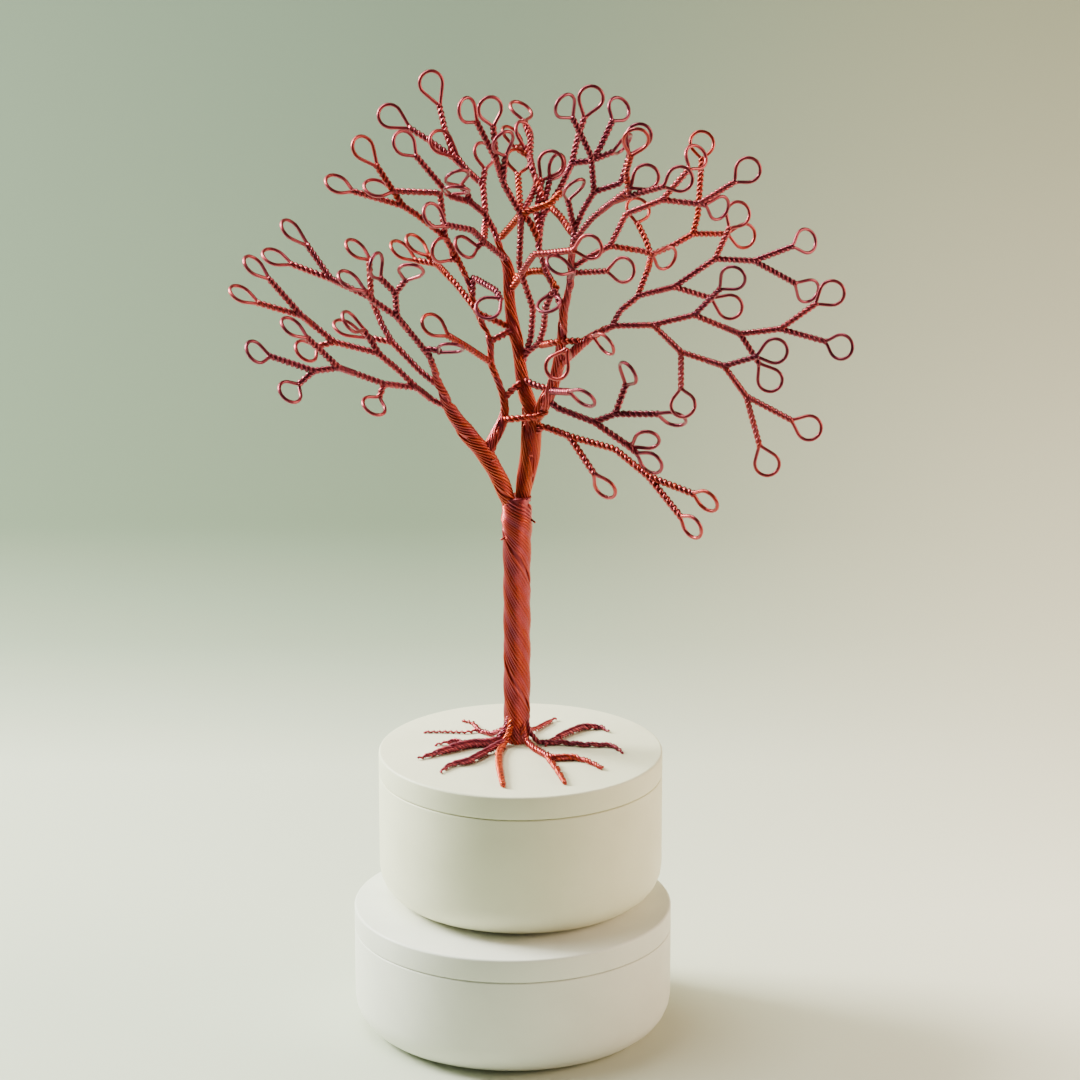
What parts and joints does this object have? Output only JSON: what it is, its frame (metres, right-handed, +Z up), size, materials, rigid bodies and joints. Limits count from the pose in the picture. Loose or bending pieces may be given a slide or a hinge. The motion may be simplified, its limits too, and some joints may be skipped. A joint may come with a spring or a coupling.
{
  "type": "jewelry tree",
  "caption": "Bonsai-like tree of twisted copper wire with a ring at each twig's end for hanging jewelry, on two stacked round lidded boxes.",
  "frame": {"origin": "on the ground, at the middle of the lower box's underside", "axes": "+Z up along the trunk, -Y toward the viewer of the picture, +X to the viewer's right"},
  "size_m": [0.2123, 0.114, 0.3358],
  "materials": {
    "white_paint": "satin white paint over wood",
    "ivory_paint": "satin ivory paint over wood",
    "copper_wire": "copper-coloured enamelled wire, twisted in pairs and wrapped"
  },
  "bodies": {
    "root": {"centre_limb": "copper_wire", "cross_bough": "copper_wire", "crown_back_bough": "copper_wire", "crown_heart_bough": "copper_wire", "crown_side_bough": "copper_wire", "front_high_bough": "copper_wire", "front_high_twig": "copper_wire", "front_low_bough": "copper_wire", "front_short_twig": "copper_wire", "heart_strand": "copper_wire", "inner_limb": "copper_wire", "inner_short_twig": "copper_wire", "inner_twig": "copper_wire", "left_crown_bough": "copper_wire", "left_hanging_bough": "copper_wire", "left_heart_bough": "copper_wire", "left_inner_bough": "copper_wire", "left_limb": "copper_wire", "left_low_bough": "copper_wire", "left_outer_bough": "copper_wire", "left_short_twig": "copper_wire", "left_upper_bough": "copper_wire", "lower_box": "white_paint", "lower_lid": "white_paint", "right_crown_bough": "copper_wire", "right_hanging_bough": "copper_wire", "right_limb": "copper_wire", "right_middle_bough": "copper_wire", "right_outer_bough": "copper_wire", "right_short_twig": "copper_wire", "right_upper_bough": "copper_wire", "side_twig": "copper_wire", "tall_limb": "copper_wire", "top_centre_bough": "copper_wire", "top_left_bough": "copper_wire", "top_outer_bough": "copper_wire", "top_right_bough": "copper_wire", "trunk": "copper_wire", "upper_box": "ivory_paint", "upper_lid": "ivory_paint"}
  },
  "joints": []
}
